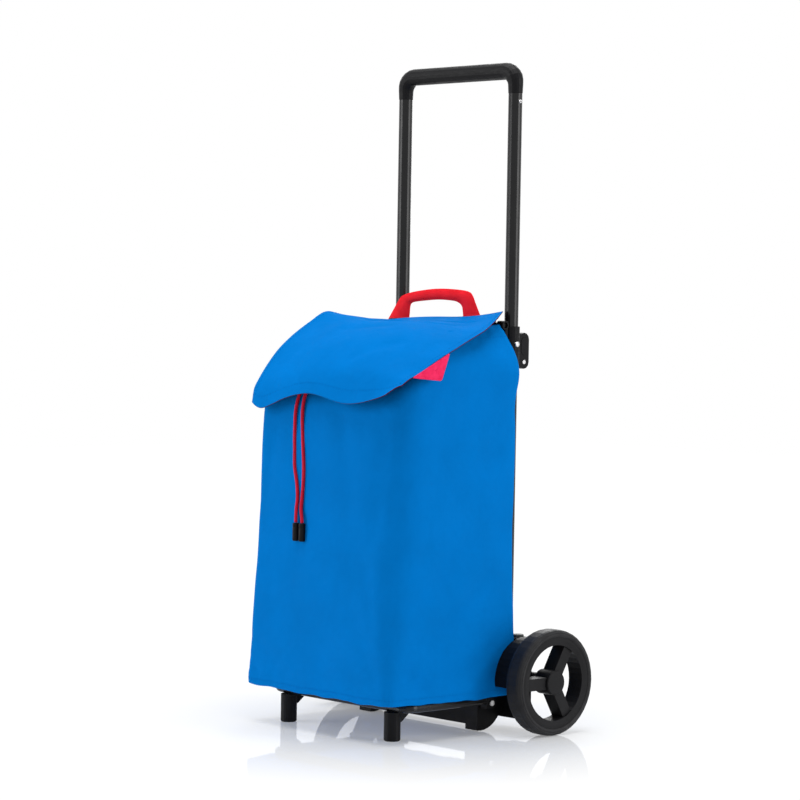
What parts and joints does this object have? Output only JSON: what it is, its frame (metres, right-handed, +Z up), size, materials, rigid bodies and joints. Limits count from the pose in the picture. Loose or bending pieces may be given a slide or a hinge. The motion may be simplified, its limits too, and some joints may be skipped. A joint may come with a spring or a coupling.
{
  "type": "shopping trolley on wheels",
  "caption": "Two-wheeled shopping trolley: an upright tube frame with a folding handle and a folding platform, and a tall soft bag with a lid flap, drawcords and a carrying loop.",
  "frame": {"origin": "on the floor, at the middle of the footprint of the whole object without its drawcords", "axes": "+Z up, +X towards the right-hand wheel as seen from the bag's front, -Y out of the bag's front"},
  "size_m": [0.44, 0.335, 0.9512],
  "materials": {
    "black_paint": "satin powder coat",
    "black_plastic": "satin moulded",
    "rim_plastic": "fine grain moulded",
    "tyre_rubber": "soft solid tyre",
    "cap_grey": "satin moulded",
    "bright_steel": "bright zinc plated",
    "bag_blue": "plain weave polyester",
    "webbing_red": "ribbed webbing",
    "cord_red": "braided cord",
    "tab_pink": "woven tab",
    "board_grey": "stiff sheet"
  },
  "bodies": {
    "frame": {"lower_tube_left": "black_paint", "lower_tube_right": "black_paint", "hinge_lower_left": "black_plastic", "hinge_lower_right": "black_plastic", "hinge_pin_left": "bright_steel", "hinge_pin_right": "bright_steel", "rear_bracket_left": "black_plastic", "rear_bracket_right": "black_plastic", "bracket_cap_left": "cap_grey", "bracket_cap_right": "cap_grey", "axle_clip_left": "bright_steel", "axle_clip_right": "bright_steel", "wheel_spacer_left": "black_plastic", "wheel_spacer_right": "black_plastic", "platform_pin_left": "bright_steel", "platform_pin_right": "bright_steel", "drawcord_left": "cord_red", "drawcord_right": "cord_red", "cord_end_left": "black_plastic", "cord_end_right": "black_plastic", "hanger_bar": "black_paint", "rear_crossbeam": "black_plastic", "axle": "bright_steel", "bag_body": "bag_blue", "bar_tunnel": "bag_blue", "carry_loop": "webbing_red"},
    "handle": {"upper_tube_left": "black_paint", "upper_tube_right": "black_paint", "grip_rivet_left": "bright_steel", "grip_rivet_right": "bright_steel", "collar_rivet_left": "bright_steel", "collar_rivet_right": "bright_steel", "hinge_upper_left": "black_plastic", "hinge_upper_right": "black_plastic", "grip": "black_plastic"},
    "lock_left": {"lock_button_left": "black_plastic"},
    "lock_right": {"lock_button_right": "black_plastic"},
    "wheel_left": {"tyre_left": "tyre_rubber", "wheel_rim_left": "rim_plastic", "hub_cap_left": "rim_plastic"},
    "wheel_right": {"tyre_right": "tyre_rubber", "wheel_rim_right": "rim_plastic", "hub_cap_right": "rim_plastic"},
    "platform": {"platform_lug_left": "black_plastic", "platform_lug_right": "black_plastic", "foot_left": "black_plastic", "foot_right": "black_plastic", "platform_tube": "black_paint", "base_board": "board_grey"},
    "flap": {"bag_flap": "bag_blue", "label_tab": "tab_pink"}
  },
  "joints": [
    {"name": "wheel_spin_left", "type": "hinge", "parent": "frame", "child": "wheel_left", "pos_m": [-0.205, 0.0925, 0.075], "axis": [1, 0, 0], "continuous": true},
    {"name": "wheel_spin_right", "type": "hinge", "parent": "frame", "child": "wheel_right", "pos_m": [0.205, 0.0925, 0.075], "axis": [1, 0, 0], "continuous": true},
    {"name": "handle_fold", "type": "hinge", "parent": "frame", "child": "handle", "pos_m": [0, 0.119, 0.524], "axis": [-1, 0, 0], "range_deg": [0, 180]},
    {"name": "lock_press_left", "type": "slide", "parent": "handle", "child": "lock_left", "axis": [1, 0, 0], "range_m": [0, 0.0025], "stiffness_N_per_m": 800},
    {"name": "lock_press_right", "type": "slide", "parent": "handle", "child": "lock_right", "axis": [-1, 0, 0], "range_m": [0, 0.0025], "stiffness_N_per_m": 800},
    {"name": "platform_fold", "type": "hinge", "parent": "frame", "child": "platform", "pos_m": [0, 0.039, 0.0425], "axis": [-1, 0, 0], "range_deg": [0, 90], "deforming": ["bag_body"]},
    {"name": "flap_open", "type": "hinge", "parent": "frame", "child": "flap", "pos_m": [0, 0.08, 0.588], "axis": [-1, 0, 0], "range_deg": [0, 65]}
  ]
}
